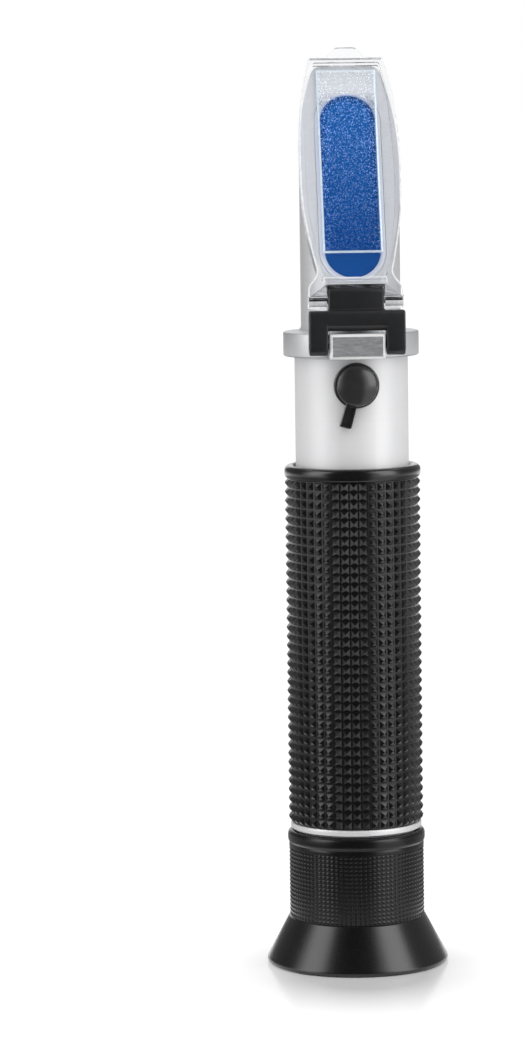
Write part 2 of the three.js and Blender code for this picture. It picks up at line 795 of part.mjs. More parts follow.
function screwCap() {
  const plugBase = screwFloorFront + seatGap;
  const ceiling = plugBase + screwHeadThickness + runningGap;
  const edgeFront = tubeRadius + capEdge;
  const domeRadius = capRadius - capStep;
  const dome = Array.from({ length: arcSteps + 1 }, (_, i) => {
    const angle = (Math.PI / 2) * (i / arcSteps);
    return [domeRadius * Math.sqrt(Math.cos(angle)), edgeFront + capDomeRise * Math.sqrt(Math.sin(angle))];
  });
  const cover = turned([
    [0, bushInnerFront],
    [capRadius, bushInnerFront],
    [capRadius, edgeFront],
    ...dome,
  ], innerSides);
  const halfTail = capTailWidth / 2;
  const tail = facing(outlineShape([
    [-halfTail, capTailSlant - capTailReach],
    [halfTail, -capTailReach],
    [halfTail, 0],
    [-halfTail, 0],
  ]), bushInnerFront, tubeRadius + capTailThickness);
  const barrel = rod(tubeRadius + slideFit, -2 * capTailReach, 2 * capTailReach);
  const skin = cut(join(alongFront(cover), tail.rotateY(capTailAngle)), barrel);
  const plug = alongFront(rod(capPlugRadius, plugBase, edgeFront, innerSides));
  const hollow = alongFront(rod(capPlugRadius - capPlugWall, plugBase - overrun, ceiling, innerSides));
  return piece('screw_cap', cut(join(skin, plug), hollow), rubber(), screwHeight);
}

// Adjuster carriage, bimetal strip and objective

function carriageParts() {
  const slotHalf = stripHalfWidth + slideFit;
  const slotBack = stripBack + seatGap;
  const screwHoleReach = stripBack + stripScrewLength;
  const screwHole = () => alongBack(rod(stripScrewRadius + pinFit, 0, screwHoleReach, pinSides));
  const carriage = cut(
    tube(carriageRadius, carriageBore, 0, carriageHeight, innerSides),
    block([-slotHalf, 0, -overrun], [slotHalf, slotBack, carriageHeight + overrun]),
    alongFront(rod(screwTipRadius + pinFit, 0, carriageRadius + overrun, innerSides))
      .translate(0, 0, carriageHeight / 2),
    screwHole().translate(0, 0, carriageHeight / 2),
  );
  const lockRing = slotted(
    tube(lockRingRadius, lockRingBore, 0, lockRingHeight, innerSides), spigotBore, lockRingHeight,
  );
  const lowerScrew = objectiveCellHeight / 2;
  const strip = cut(
    block([-stripHalfWidth, stripBack - stripThickness, 0], [stripHalfWidth, stripBack, stripLength]),
    screwHole().translate(0, 0, screwHeight - stripBase),
    screwHole().translate(0, 0, lowerScrew),
  );
  const screw = () => slotted(
    turned([
      [0, -stripScrewLength],
      [stripScrewRadius, -stripScrewLength],
      [stripScrewRadius, 0],
      [stripScrewHeadRadius, 0],
      [stripScrewHeadRadius, stripScrewHeadHeight],
      [0, stripScrewHeadHeight],
    ], pinSides),
    stripScrewHeadRadius, stripScrewHeadHeight, screwSlotWidth, screwSlotDepth,
  );
  const stripFront = stripBack - stripThickness - seatGap;
  const lensSeat = objectiveRadius + slideFit;
  const cell = cut(
    turned([
      [objectiveRadius - ringWidth, 0],
      [objectiveCellRadius, 0],
      [objectiveCellRadius, objectiveCellHeight],
      [lensSeat, objectiveCellHeight],
      [lensSeat, objectiveSeat],
      [objectiveRadius - ringWidth, objectiveSeat],
    ], innerSides),
    block(
      [-objectiveCellRadius, stripFront, -overrun],
      [objectiveCellRadius, objectiveCellRadius + overrun, objectiveCellHeight + overrun],
    ),
    screwHole().translate(0, 0, lowerScrew),
  );
  const lensBase = stripBase + objectiveSeat + seatGap;
  const retainerBase = lensBase + objectiveEdge + seatGap;
  const ring = tube(objectiveRadius, objectiveRadius - ringWidth, 0, objectiveRingHeight, innerSides);
  return [
    piece('adjuster_carriage', carriage, blackMetal(), carriageBase),
    piece('carriage_lock_ring', lockRing.rotateX(Math.PI), blackMetal(), carriageBase - seatGap),
    piece('bimetal_strip', strip, bimetal(), stripBase),
    piece('strip_screw_upper', alongFront(screw()).translate(0, stripFront, 0), steel(), screwHeight),
    piece('strip_screw_lower', alongBack(screw()).translate(0, stripBack + seatGap, 0), steel(),
      stripBase + lowerScrew),
    piece('objective_cell', cell, blackMetal(), stripBase),
    piece('objective_lens', lens(objectiveRadius, objectiveEdge, objectiveBulge, objectiveBulge),
      opticalGlass(), lensBase),
    piece('objective_retaining_ring', slotted(ring, objectiveRadius, objectiveRingHeight), blackMetal(),
      retainerBase),
  ];
}

// Hinge

const hingePin = (halfLength, grow = 0) =>
  alongX(rod(hingePinRadius + grow, -halfLength, halfLength, pinSides));

// The link, drawn above its own pin
function hingeLink() {
  const front = linkPinFront + linkLegRadius;
  const back = front - linkBarDepth;
  const platePin = platePinRise - linkPinRise;
  const leg = [
    ...arc([linkPinFront, 0], linkLegRadius, Math.PI, 2 * Math.PI, 2 * arcSteps),
    [front, linkBarTop - linkEdge],
    [front - 2 * linkLegRadius, linkBarTop - linkEdge],
  ];
  const bar = [
    [back, linkBarBottom],
    [front - linkBarSlant, linkBarBottom],
    [front, linkBarBottom + linkBarSlant],
    [front, linkBarTop - linkEdge],
    [front - linkEdge, linkBarTop],
    [back, linkBarTop],
  ];
  const tabFront = platePinFront + linkTabFront;
  const tabBack = platePinFront - linkTabBack;
  const tab = [
    [tabBack, linkBarTop],
    [back, linkBarBottom + linkBarSlant],
    [tabFront, linkBarBottom + linkBarSlant],
    [tabFront, platePin + linkTabReach - linkEdge],
    [tabFront - linkEdge, platePin + linkTabReach],
    [tabBack, platePin + linkTabReach],
  ];
  const solid = cut(
    join(
      sideways(bar, -linkHalfWidth, linkHalfWidth),
      sideways(leg, -linkHalfWidth, -linkLegInner),
      sideways(leg, linkLegInner, linkHalfWidth),
      sideways(tab, -linkTabHalfWidth, linkTabHalfWidth),
    ),
    hingePin(linkHalfWidth + overrun, pinFit).translate(0, -linkPinFront, 0),
    hingePin(linkHalfWidth + overrun, pinFit).translate(0, -platePinFront, platePin),
  );
  return piece('hinge_link', solid, blackPlastic(), flangeBase + linkPinRise);
}

function hingePins() {
  const linkPin = hingePin(linkHalfWidth - seatGap).translate(0, -linkPinFront, 0);
  const platePin = hingePin(earHalfWidth - seatGap).translate(0, -platePinFront, 0);
  return [
    piece('link_pin', linkPin, steel(), flangeBase + linkPinRise),
    piece('plate_pin', platePin, steel(), flangeBase + platePinRise),
  ];
}

// The plate's outline between two distances from its pin, drawn in by an inset
function plateOutline(inset, start, end) {
  const places = plateSideShares.map(([place]) => place * plateLength);
  const halves = plateSideShares.map(([, half]) => half * plateHalfWidth);
  const side = new THREE.LinearInterpolant(places, halves, 1);
  const between = places.filter((place) => place > start && place < end);
  const right = [start, ...between, end].map((place) => [side.evaluate(place)[0] - inset, place]);
  const left = right.map(([x, place]) => [-x, place]).reverse();
  return outlineShape([...right, ...left]);
}

// Drawn along the slope with the pin at zero, then tilted onto the prism's face
function daylightPlate() {
  const pinAboveFace = platePinFront * Math.cos(wedgeAngle)
    + (platePinRise - flangeHeight - faceCrossing) * Math.sin(wedgeAngle);
  const padInner = runningGap - pinAboveFace;
  const panelInner = padInner + padThickness;
  const panelOuter = panelInner + plateThickness;
  const rimOutline = plateOutline(0, 0, plateLength);
  rimOutline.holes.push(plateOutline(plateRimWidth, plateNotch + ribHeight, plateLength - plateRimWidth));
  const padHalfWidth = prismHalfWidth - padInset;
  const pad = outlineShape([
    [-padHalfWidth, padStart],
    [padHalfWidth, padStart],
    [padHalfWidth, padEnd],
    [-padHalfWidth, padEnd],
  ]);
  const liftTab = new THREE.Shape();
  liftTab.absellipse(
    0, plateLength - plateRimWidth, liftTabHalfWidth, liftTabLength + plateRimWidth, 0, Math.PI,
  );
  const ear = (low, high) => alongX(rod(plateEarRadius, low, high, innerSides));
  const solid = cut(
    join(
      facing(plateOutline(0, 0, plateLength), panelInner, panelOuter),
      facing(rimOutline, panelInner - plateRimDrop, panelOuter + plateRimRise),
      facing(pad, padInner, panelInner + plateThickness / 2),
      facing(liftTab, panelInner, panelInner + liftTabThickness),
      ear(-earHalfWidth, -earInner),
      ear(earInner, earHalfWidth),
    ),
    block([-earInner, -plateNotch, -plateNotch], [earInner, plateNotch, plateNotch]),
    hingePin(earHalfWidth + overrun, pinFit),
  );
  const placed = solid.rotateX(-wedgeAngle).translate(0, -platePinFront, 0);
  return piece('daylight_plate', placed, clearPlastic(), flangeBase + platePinRise);
}

const refractometer = new THREE.Group();
refractometer.add(
  eyecup(),
  focusRing(),
  keeperRing(),
  eyepieceHousing(),
  lensBarrel(),
  drivePin(),
  ...eyepieceLenses(),
  barrelTube(),
  gripSleeve(),
  ...reticleParts(),
  prismHead(),
  ...prismAndSeal(),
  ...calibrationParts(),
  screwCap(),
  ...carriageParts(),
  hingeLink(),
  ...hingePins(),
  daylightPlate(),
);

export default refractometer;
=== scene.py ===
from math import cos, pi, radians, sin

import bmesh
import bpy
from mathutils import Matrix, Vector


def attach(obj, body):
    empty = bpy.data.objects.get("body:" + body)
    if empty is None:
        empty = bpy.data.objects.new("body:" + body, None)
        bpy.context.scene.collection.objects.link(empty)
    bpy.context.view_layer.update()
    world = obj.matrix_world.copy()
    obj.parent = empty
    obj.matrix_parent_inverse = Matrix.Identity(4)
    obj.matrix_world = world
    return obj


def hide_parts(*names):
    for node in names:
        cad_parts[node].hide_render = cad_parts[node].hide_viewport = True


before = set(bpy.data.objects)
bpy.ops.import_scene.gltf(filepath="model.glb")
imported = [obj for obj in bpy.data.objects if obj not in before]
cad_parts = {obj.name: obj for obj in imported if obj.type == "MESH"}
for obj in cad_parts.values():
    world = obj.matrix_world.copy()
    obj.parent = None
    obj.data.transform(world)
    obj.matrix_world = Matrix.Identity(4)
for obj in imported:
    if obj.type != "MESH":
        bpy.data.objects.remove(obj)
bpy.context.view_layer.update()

# Camera: 0.88 m in front of the instrument, level with the upper part of the daylight plate and a
# little to its left, through a long lens, as the photograph was taken.
view_point = Vector((-0.0771, -0.8816, 0.190))
view_turn = radians(-3.704)
view_drop = radians(6.09)
view_roll = radians(-0.78)

camera_lens = bpy.data.cameras.new("camera")
camera_lens.sensor_fit = "VERTICAL"
camera_lens.sensor_height = 36
camera_lens.lens = 137.1
camera_lens.clip_start = 0.02
camera = bpy.data.objects.new("camera", camera_lens)
camera.matrix_world = (
    Matrix.Translation(view_point)
    @ Matrix.Rotation(view_turn, 4, "Z")
    @ Matrix.Rotation(pi / 2 - view_drop, 4, "X")
    @ Matrix.Rotation(view_roll, 4, "Z")
)
scene = bpy.context.scene
scene.collection.objects.link(camera)
scene.camera = camera
scene.view_settings.view_transform = "Standard"


# Table and surroundings: a white studio sweep, its surface polished enough to show a blurred
# picture of the eyecup. Its colour goes on beyond the table, so no horizon shows.
class Value:
    """A number or a vector that changes over a surface, taken from a node's output."""

    def __init__(self, socket):
        self.socket = socket

    def _math(self, operation, first, second):
        node = self.socket.id_data.nodes.new("ShaderNodeMath")
        node.operation = operation
        for slot, given in zip(node.inputs, (first, second)):
            join(slot, given)
        return Value(node.outputs[0])

    def __add__(self, other):
        return self._math("ADD", self, other)

    def __radd__(self, other):
        return self._math("ADD", other, self)

    def __sub__(self, other):
        return self._math("SUBTRACT", self, other)

    def __rsub__(self, other):
        return self._math("SUBTRACT", other, self)

    def __mul__(self, other):
        return self._math("MULTIPLY", self, other)

    def __rmul__(self, other):
        return self._math("MULTIPLY", other, self)


def join(slot, given):
    """Feeds a node's input with a constant or with another node's output."""
    if isinstance(given, Value):
        slot.id_data.links.new(given.socket, slot)
    else:
        slot.default_value = given


class Finish:
    """A procedural surface: a material, or the world, and the nodes that shape it."""

    def __init__(self, owner):
        owner.use_nodes = True
        self.owner = owner
        self.tree = owner.node_tree
        self.tree.nodes.clear()

    def add(self, kind, settings=None, inputs=None, output=0):
        node = self.tree.nodes.new("ShaderNode" + kind)
        for key, setting in (settings or {}).items():
            setattr(node, key, setting)
        for key, given in (inputs or {}).items():
            join(node.inputs[key], given)
        return Value(node.outputs[output])

    def end(self, surface, kind="OutputMaterial"):
        node = self.tree.nodes.new("ShaderNode" + kind)
        join(node.inputs["Surface"], surface)
        return self.owner

    def place(self):
        """Where a point lies on the object, in millimetres."""
        spot = self.add("TexCoord", output="Object")
        return self.add("VectorMath", {"operation": "SCALE"}, {0: spot, "Scale": 1000.0})

    def along(self, axis):
        """Where a point lies along one axis, in millimetres."""
        return self.add("SeparateXYZ", inputs={0: self.place()}, output=axis)

    def noise(self, scale, detail=2.0, stretch=(1, 1, 1), roughness=0.5):
        spot = self.add("Mapping", inputs={"Vector": self.place(), "Scale": stretch})
        return self.add("TexNoise", inputs={
            "Vector": spot, "Scale": scale, "Detail": detail, "Roughness": roughness})

    def between(self, low, high, share):
        """A colour between two, by a share that changes over the surface."""
        return self.add("Mix", {"data_type": "RGBA"}, {0: share, 6: low, 7: high}, 2)

    def shades(self, tone, dark, light, share):
        """A colour between a darker and a lighter shade of one tone."""
        low = (*[t * dark for t in tone], 1)
        high = (*[t * light for t in tone], 1)
        return self.between(low, high, share)

    def spread(self, share, low, high, start=0.0, stop=1.0):
        """Goes from low to high while the share goes from start to stop."""
        return self.add("MapRange", {"clamp": True}, {
            "Value": share, "From Min": start, "From Max": stop, "To Min": low, "To Max": high})

    def bump(self, height, distance, strength=1.0):
        return self.add("Bump", inputs={
            "Height": height, "Distance": distance, "Strength": strength})


def light_rays(finish):
    """1 for a ray that is seen direct, in gloss or through glass, and 0 for any other."""
    seen = [finish.add("LightPath", output=way) for way in
            ("Is Camera Ray", "Is Glossy Ray", "Is Transmission Ray")]
    return seen[0] + seen[1] + seen[2]


sky_light = 0.45
sky = Finish(bpy.data.worlds.new("studio"))
scene.world = sky.owner
sky.end(sky.add("Background", inputs={
    "Color": (1, 1, 1, 1),
    "Strength": sky.spread(light_rays(sky), sky_light, 1.0),
}), "OutputWorld")

table_reach = 8.0
table_mesh = bmesh.new()
bmesh.ops.create_grid(table_mesh, x_segments=1, y_segments=1, size=table_reach)
table = bpy.data.meshes.new("table")
table_mesh.to_mesh(table)
table_mesh.free()
table_top = bpy.data.objects.new("table", table)
scene.collection.objects.link(table_top)

# The sweep shows shadow and reflection round the front of the eyecup; further out it is white.
shadow_front = 14.0
shadow_sideways = 1.25
shadow_full, shadow_gone = 17.0, 50.0
glow_near, glow_far = 14.0, 60.0
white = Finish(bpy.data.materials.new("white_sweep"))
from_shadow = white.add("VectorMath", {"operation": "LENGTH"}, {
    0: white.add("VectorMath", {"operation": "MULTIPLY_ADD"}, {
        0: white.place(), 1: (shadow_sideways, 1, 1), 2: (0, shadow_front, 0)}),
}, 1)
glow = white.between((1.35, 1.35, 1.35, 1), (1.05, 1.05, 1.05, 1),
                     white.spread(from_shadow, 0, 1, glow_near, glow_far))
table.materials.append(white.end(white.add("MixShader", inputs={
    0: light_rays(white) * white.spread(from_shadow, 0.0, 1.0, shadow_full, shadow_gone),
    1: white.add("BsdfPrincipled", inputs={
        "Base Color": (0.84, 0.84, 0.84, 1), "Roughness": 0.17, "Specular IOR Level": 0.4}),
    2: white.add("Emission", inputs={"Color": glow}),
})))


# Studio lamps: a tall soft box on each side and a softer light from above. Dark and grey screens
# between them show only in gloss, as the studio's own walls and ceiling do.
aim_height = 0.1


def soft_box(name, azimuth, elevation, distance, width, height, radiance, glossy=True):
    lamp = bpy.data.lights.new(name, "AREA")
    lamp.shape = "RECTANGLE"
    lamp.size = width
    lamp.size_y = height
    lamp.energy = pi * radiance * width * height
    box = bpy.data.objects.new(name, lamp)
    box.matrix_world = (
        Matrix.Translation((0, 0, aim_height))
        @ Matrix.Rotation(radians(azimuth), 4, "Z")
        @ Matrix.Rotation(pi / 2 - radians(elevation), 4, "X")
        @ Matrix.Translation((0, 0, distance))
    )
    box.visible_camera = False
    box.visible_glossy = glossy
    scene.collection.objects.link(box)


soft_box("left_box", -71, 27, distance=1.0, width=0.50, height=1.1, radiance=1.6)
soft_box("right_box", 57, 27, distance=1.0, width=0.54, height=1.1, radiance=1.95)
soft_box("top_box", 0, 66, distance=1.1, width=1.0, height=0.8, radiance=1.55, glossy=False)


def screen(name, sector, foot, head, strength, through=True):
    """A screen bent round a sector of azimuths, from its foot to its head (distance, height).

    It shows in gloss alone: straight through clear plastic or glass the white room is seen.
    """
    start, stop = sector
    bm = bmesh.new()
    ends = [bm.verts.new((0, -distance, height)) for distance, height in (foot, head)]
    edge = bm.edges.new(ends)
    bmesh.ops.rotate(bm, verts=ends, cent=(0, 0, 0), matrix=Matrix.Rotation(radians(start), 3, "Z"))
    bmesh.ops.spin(bm, geom=[*ends, edge], cent=(0, 0, 0), axis=(0, 0, 1),
                   angle=radians(stop - start), steps=24)
    sheet = bpy.data.meshes.new(name)
    bm.to_mesh(sheet)
    bm.free()
    grey = Finish(bpy.data.materials.new(name))
    bounces = (grey.add("LightPath", output="Glossy Depth")
               + grey.add("LightPath", output="Diffuse Depth"))
    first = grey.spread(bounces, 1, 0, 0.4, 0.6)
    straight = grey.add("LightPath", output="Is Transmission Ray") * first
    sheet.materials.append(grey.end(grey.add("Emission", inputs={
        "Color": (1, 1, 1, 1), "Strength": strength + (1 - strength) * straight})))
    grey.owner.cycles.emission_sampling = "NONE"
    wall = bpy.data.objects.new(name, sheet)
    scene.collection.objects.link(wall)
    wall.visible_camera = False
    wall.visible_diffuse = False
    wall.visible_transmission = through
    wall.visible_shadow = False


front_sector = (-50, 28)
floor_start, floor_end = (0.065, 0.001), (0.5, 0.012)
front_foot, front_middle, front_head = (1.4, 0.35), (1.1, 1.15), (0.62, 2.0)
side_foot, side_head = (1.4, 0.004), (1.4, 1.5)
screen("dark_front", front_sector, front_middle, front_head, 0.015)
screen("middle_front", front_sector, front_foot, front_middle, 0.06)
screen("low_front", front_sector, floor_end, front_foot, 0.07)
screen("floor_front", front_sector, floor_start, floor_end, 0.07, through=False)
screen("floor_right", (28, 79), floor_start, floor_end, 0.8, through=False)
screen("floor_round", (79, 310), floor_start, floor_end, 0.3, through=False)
screen("grey_left", (-165, -96), side_foot, side_head, 0.13, through=False)
screen("grey_right", (77, 165), side_foot, side_head, 0.2, through=False)
screen("ceiling", (0, 360), (1.5, 2.1), (0.0, 2.1), 0.25)


# Eyepiece housing: turned aluminium, its spigot fixed in the foot of the barrel tube. Only its
# bright ring shows, between eyecup and grip; the focus ring turns on its neck.
def eased(bm, geom, offset, segments=1, affect="EDGES"):
    """Breaks or rounds edges or corners."""
    bmesh.ops.bevel(bm, geom=geom, offset=offset, offset_type="OFFSET", segments=segments,
                    profile=0.5, affect=affect, material=-1, clamp_overlap=False)


def cross_section(profile):
    """A closed outline of (radius, height) points; a third number rounds that corner."""
    bm = bmesh.new()
    corners = [bm.verts.new((radius, 0, height)) for radius, height, *_ in profile]
    bm.faces.new(corners)
    for corner, (_, _, *rounding) in zip(corners, profile):
        if rounding:
            eased(bm, [corner], rounding[0], 5, "VERTICES")
    bmesh.ops.delete(bm, geom=bm.faces[:], context="FACES_ONLY")
    on_axis = [e for e in bm.edges if all(v.co.x < 1e-6 for v in e.verts)]
    bmesh.ops.delete(bm, geom=on_axis, context="EDGES_FACES")
    return bm


def spun(bm, sides):
    """Spins a cross section once round Z."""
    bmesh.ops.spin(bm, geom=bm.verts[:] + bm.edges[:], cent=(0, 0, 0), axis=(0, 0, 1),
                   angle=2 * pi, steps=sides, use_merge=True)
    bmesh.ops.remove_doubles(bm, verts=bm.verts, dist=1e-5)
    bmesh.ops.recalc_face_normals(bm, faces=bm.faces)
    return bm


def turned(profile, sides=96):
    return spun(cross_section(profile), sides)


def block(low, high):
    bm = bmesh.new()
    size = [b - a for a, b in zip(low, high)]
    middle = [(a + b) / 2 for a, b in zip(low, high)]
    bmesh.ops.create_cube(
        bm, size=1, matrix=Matrix.Translation(middle) @ Matrix.Diagonal((*size, 1)))
    return bm


def rod(radius, start, stop, sides=48):
    """A plain round bar between two points."""
    bm = bmesh.new()
    start, stop = Vector(start), Vector(stop)
    along = (stop - start).to_track_quat("Z", "Y").to_matrix().to_4x4()
    bmesh.ops.create_cone(bm, cap_ends=True, segments=sides, radius1=radius, radius2=radius,
                          depth=(stop - start).length,
                          matrix=Matrix.Translation((start + stop) / 2) @ along)
    return bm


def worked(bm, tool, how="DIFFERENCE"):
    """Cuts, joins or trims one closed shape by another."""
    blanks = []
    for shape in (bm, tool):
        mesh = bpy.data.meshes.new("blank")
        shape.to_mesh(mesh)
        shape.free()
        blanks.append(bpy.data.objects.new("blank", mesh))
        scene.collection.objects.link(blanks[-1])
    step = blanks[0].modifiers.new("step", "BOOLEAN")
    step.operation = how
    step.solver = "MANIFOLD"
    step.object = blanks[1]
    result = bmesh.new()
    result.from_object(blanks[0], bpy.context.evaluated_depsgraph_get())
    for blank in blanks:
        bpy.data.meshes.remove(blank.data)
    bmesh.ops.remove_doubles(result, verts=result.verts, dist=1e-5)
    return result


def keep(bm, name, body, finish, slot, *nodes, crease=32):
    """Makes a piece, drawn in millimetres, which rides on a body and stands in for CAD nodes."""
    bmesh.ops.scale(bm, vec=(0.001,) * 3, verts=bm.verts)
    mesh = bpy.data.meshes.new(name)
    bm.to_mesh(mesh)
    bm.free()
    mesh.shade_smooth()
    mesh.set_sharp_from_angle(angle=radians(crease))
    mesh.materials.append(finish)
    made = bpy.data.objects.new(name, mesh)
    scene.collection.objects.link(made)
    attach(made, body)
    if nodes:
        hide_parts(*nodes)
    return made


def dress(node, finish):
    """Gives a CAD node, which stays as it is, its finish."""
    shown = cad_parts[node]
    shown.data.materials.clear()
    shown.data.materials.append(finish)


def turned_aluminium(name, tone, roughness, metallic):
    """Satin anodised metal with the fine lines that turning leaves round the piece."""
    metal = Finish(bpy.data.materials.new(name))
    lines = metal.noise(1.0, 3.0, stretch=(0.02, 0.02, 8.5))
    cloud = metal.noise(0.09, 3.0)
    return metal.end(metal.add("BsdfPrincipled", inputs={
        "Base Color": metal.shades(
            tone, 0.95, 1,
            metal.spread(lines, 0, 0.5, 0.35, 0.65) + metal.spread(cloud, 0, 0.5, 0.35, 0.6)),
        "Metallic": metallic,
        "Roughness": roughness - 0.03 + 0.06 * cloud + 0.05 * lines,
        "Normal": metal.bump(lines, 0.0000012, 0.35),
    }))


aluminium = turned_aluminium("aluminium_turned", (0.93, 0.93, 0.94), 0.46, 0.22)
ring_aluminium = turned_aluminium("aluminium_ring", (0.95, 0.95, 0.96), 0.4, 0.35)

housing_bore = 9.6
neck_radius = 12.0
thread_radius = 11.2
spigot_radius = 11.1
ring_radius = 14.4
housing_foot, thread_top = 13.4, 16.2
ring_foot, ring_top = 30.0, 31.4
spigot_top = 39.0
drive_pin_height = 21.9
drive_pin_bore = 1.06
slot_half_height = 3.8
housing = turned([
    (housing_bore, housing_foot), (thread_radius, housing_foot, 0.2), (thread_radius, thread_top),
    (neck_radius, thread_top, 0.2), (neck_radius, ring_foot), (ring_radius, ring_foot, 0.35),
    (ring_radius, ring_top, 0.35), (spigot_radius, ring_top), (spigot_radius, spigot_top, 0.3),
    (housing_bore, spigot_top, 0.2),
], 128)
housing = worked(housing, block(
    (-drive_pin_bore, 0, drive_pin_height - slot_half_height),
    (drive_pin_bore, 13, drive_pin_height + slot_half_height)))
keep(housing, "eyepiece_housing_turned", "barrel", ring_aluminium, "turned_aluminium",
     "eyepiece_housing")


# Focus ring and keeper ring: the aluminium core under the eyecup, with the helical groove that
# drives the lenses, and the brass ring that holds it on the housing's thread. Both are hidden.
def plain_metal(name, tone, roughness):
    """Machined metal, a little uneven in colour and gloss."""
    metal = Finish(bpy.data.materials.new(name))
    cloud = metal.noise(0.6, 4.0)
    grain = metal.noise(9.0, 2.0)
    return metal.end(metal.add("BsdfPrincipled", inputs={
        "Base Color": metal.shades(tone, 0.9, 1, cloud),
        "Metallic": 1.0,
        "Roughness": roughness - 0.05 + 0.1 * cloud,
        "Normal": metal.bump(grain, 0.000002, 0.3),
    }))


brass = plain_metal("brass_turned", (0.70, 0.52, 0.24), 0.34)
steel = plain_metal("steel_polished", (0.66, 0.67, 0.69), 0.22)
dress("focus_ring", aluminium)
dress("keeper_ring", brass)


# Lens barrel: a matt black sleeve that carries the eyepiece lenses and slides in the housing. Its
# steel pin runs through the housing's slot into the focus ring's groove.
def black_coat(name, tone, roughness):
    """Black anodised metal, matt against stray light."""
    coat = Finish(bpy.data.materials.new(name))
    cloud = coat.noise(1.2, 4.0)
    return coat.end(coat.add("BsdfPrincipled", inputs={
        "Base Color": coat.shades(tone, 0.7, 1.3, cloud),
        "Metallic": 0.2,
        "Roughness": roughness - 0.06 + 0.12 * cloud,
        "Normal": coat.bump(coat.noise(14.0, 2.0), 0.000003, 0.3),
    }))


black_metal = black_coat("metal_blackened", (0.016, 0.016, 0.017), 0.5)
sleeve_radius = 9.5
sleeve_bore = 8.6
shoulder_bore = 7.6
sleeve_foot, shoulder_top, sleeve_top = 11.7, 12.9, 27.4
lens_barrel = turned([
    (shoulder_bore, sleeve_foot, 0.25), (sleeve_radius, sleeve_foot, 0.3),
    (sleeve_radius, sleeve_top, 0.2), (sleeve_bore, sleeve_top), (sleeve_bore, shoulder_top),
    (shoulder_bore, shoulder_top),
], 96)
lens_barrel = worked(
    lens_barrel, rod(drive_pin_bore, (0, 0, drive_pin_height), (0, 11, drive_pin_height), 24))
keep(lens_barrel, "lens_barrel_turned", "lenses", black_metal, "black_metal", "lens_barrel")
for node in ("lens_spacer", "lens_retaining_ring", "reticle_cell", "reticle_retaining_ring",
             "adjuster_carriage", "carriage_lock_ring", "objective_cell",
             "objective_retaining_ring"):
    dress(node, black_metal)
for node in ("focus_drive_pin", "reticle_set_screw_1", "reticle_set_screw_2",
             "reticle_set_screw_3", "screw_clip", "strip_screw_upper", "strip_screw_lower"):
    dress(node, steel)


# Lenses and reticle: polished glass with a faint bluish coating, each held by a black ring. The
# eye lens bulges towards the eye and is seen from below, in the eyecup.
def lens_glass(name, tint):
    glass = Finish(bpy.data.materials.new(name))
    smear = glass.noise(0.5, 3.0)
    return glass.end(glass.add("BsdfPrincipled", inputs={
        "Base Color": (*tint, 1),
        "Roughness": 0.01 + 0.03 * smear,
        "IOR": 1.52,
        "Transmission Weight": 1.0,
        "Coat Weight": 0.3,
        "Coat Tint": (0.7, 0.8, 1.0, 1),
    }))


optical_glass = lens_glass("glass_optical", (0.93, 0.97, 1.0))
clear_radius = 7.4
lens_radius = 8.5
lens_edge, lens_top = 13.0, 15.2
lens_bulge = 1.1
bulge_steps = 12
bulge = [(clear_radius * i / bulge_steps, lens_edge - lens_bulge * (1 - (i / bulge_steps) ** 2))
         for i in range(bulge_steps + 1)]
eye_lens = turned([
    *bulge, (lens_radius, lens_edge), (lens_radius, lens_top, 0.15), (0, lens_top)], 96)
keep(eye_lens, "eye_lens_polished", "lenses", optical_glass, "optical_glass", "eye_lens")
for node in ("field_lens", "reticle", "objective_lens"):
    dress(node, optical_glass)


# Eyecup: one moulding of satin black rubber, pushed onto the focus ring. Its skirt flares to the
# rim that the instrument stands on; the collar is knurled for the fingers, under a smooth bead.
def moulded_rubber(name, tone, roughness, shiny=None, elsewhere=1):
    """Black rubber with faint bloom and fine pores, glossiest between two heights if given."""
    rubber = Finish(bpy.data.materials.new(name))
    bloom = rubber.noise(0.35, 5.0)
    pores = rubber.noise(7.0, 3.0)
    gloss = 1.0
    if shiny:
        low, high = shiny
        height = rubber.along("Z")
        above = rubber.spread(height, 0, 1, low - 0.1, low + 0.1)
        below = rubber.spread(height, 1, 0, high - 0.1, high + 0.1)
        gloss = elsewhere + (1 - elsewhere) * below * above
    return rubber.end(rubber.add("BsdfPrincipled", inputs={
        "Base Color": rubber.shades(tone, 0.7, 1.3, bloom),
        "Roughness": roughness - 0.04 + 0.08 * bloom,
        "IOR": 1.38,
        "Coat Weight": gloss,
        "Coat Roughness": roughness - 0.02,
        "Coat IOR": 1.46,
        "Normal": rubber.bump(pores, 0.000006, 0.2),
    }))


skirt_top = 10.3
cup_rubber = moulded_rubber("rubber_eyecup", (0.0035, 0.0035, 0.0037), 0.27, (-1.0, skirt_top), 0.4)
rim_radius = 20.0
cup_columns = 88
cup_rows = 17
cup_valley = 14.7
collar_low, collar_high = 10.4, 25.8
cup_bead = 15.12
cup_top = 29.7
core_radius, core_foot = 13.5, 12.0
lip_bore, lip_foot = 10.3, 10.6
eyecup = cross_section([
    (18.2, 0, 0.25), (19.6, 0, 0.3), (rim_radius, 0.5, 0.25), (rim_radius, 1.0, 0.2),
    (15.1, 10.2, 0.12), (cup_valley, collar_low), (cup_valley, collar_high),
    (14.88, collar_high + 0.12), (14.88, 26.5, 0.3), (14.78, 26.85, 0.3), (cup_bead, 27.3, 0.5),
    (cup_bead, cup_top, 1.15), (core_radius, cup_top, 0.25), (core_radius, core_foot),
    (lip_bore, core_foot, 0.3), (lip_bore, lip_foot, 0.3), (12.6, lip_foot, 0.8),
    (14.2, 8.4, 1.2), (17.1, 2.6, 1.0),
])


